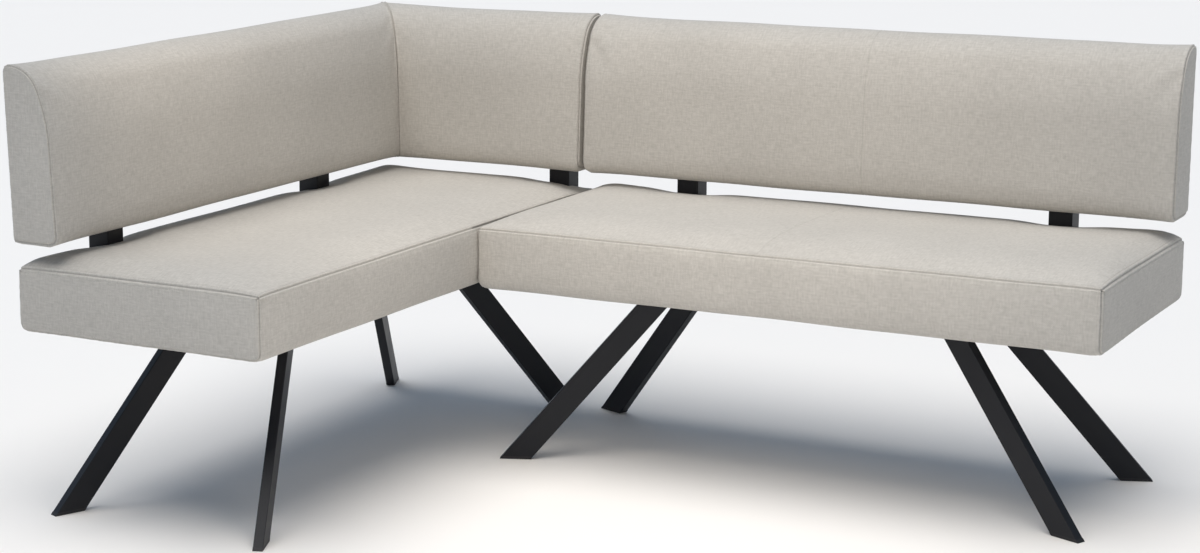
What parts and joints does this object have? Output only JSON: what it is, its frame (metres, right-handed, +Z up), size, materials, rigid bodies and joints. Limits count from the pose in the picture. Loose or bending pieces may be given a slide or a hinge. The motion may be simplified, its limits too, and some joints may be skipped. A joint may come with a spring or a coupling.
{
  "type": "corner bench",
  "caption": "Upholstered corner bench: a corner unit with an L-shaped backrest and a long unit with a straight one, on splayed black flat-tube legs, backs raised on posts.",
  "frame": {"origin": "on the floor under the middle of the bench's bounding box", "axes": "+X along the long unit towards its free end, +Y towards the wall behind it, +Z up"},
  "size_m": [1.915, 1.3744, 0.894],
  "materials": {
    "fabric": "pale grey-beige woven upholstery cloth",
    "foam": "upholstery foam",
    "plywood": "raw plywood",
    "timber": "raw softwood",
    "lining": "black non-woven sheet",
    "black_steel": "satin black powder coat",
    "glide_plastic": "matt black",
    "zinc_steel": "zinc plated"
  },
  "bodies": {
    "root": {"corner_back_cover": "fabric", "corner_back_rear_board": "plywood", "corner_back_rear_foam": "foam", "corner_back_rear_rail": "timber", "corner_back_side_board": "plywood", "corner_back_side_foam": "foam", "corner_back_side_rail": "timber", "corner_glide_1": "glide_plastic", "corner_glide_2": "glide_plastic", "corner_glide_3": "glide_plastic", "corner_glide_4": "glide_plastic", "corner_leg_1": "black_steel", "corner_leg_2": "black_steel", "corner_leg_3": "black_steel", "corner_leg_4": "black_steel", "corner_leg_plate_1": "black_steel", "corner_leg_plate_2": "black_steel", "corner_leg_plate_3": "black_steel", "corner_leg_plate_4": "black_steel", "corner_post": "black_steel", "corner_seat_cover": "fabric", "corner_seat_deck": "plywood", "corner_seat_dust_cover": "lining", "corner_seat_end_rails": "timber", "corner_seat_foam": "foam", "corner_seat_front_rail": "timber", "corner_seat_leg_boards": "timber", "corner_seat_rear_rail": "timber", "leg_bolts": "zinc_steel", "long_back_board": "plywood", "long_back_cover": "fabric", "long_back_foam": "foam", "long_back_rail": "timber", "long_glide_1": "glide_plastic", "long_glide_2": "glide_plastic", "long_glide_3": "glide_plastic", "long_glide_4": "glide_plastic", "long_leg_1": "black_steel", "long_leg_2": "black_steel", "long_leg_3": "black_steel", "long_leg_4": "black_steel", "long_leg_plate_1": "black_steel", "long_leg_plate_2": "black_steel", "long_leg_plate_3": "black_steel", "long_leg_plate_4": "black_steel", "long_post_left": "black_steel", "long_post_right": "black_steel", "long_seat_cover": "fabric", "long_seat_deck": "plywood", "long_seat_dust_cover": "lining", "long_seat_end_rails": "timber", "long_seat_foam": "foam", "long_seat_front_rail": "timber", "long_seat_leg_boards": "timber", "long_seat_rear_rail": "timber", "post_bolts": "zinc_steel", "side_post_front": "black_steel", "side_post_rear": "black_steel", "tee_nuts": "zinc_steel"}
  },
  "joints": []
}
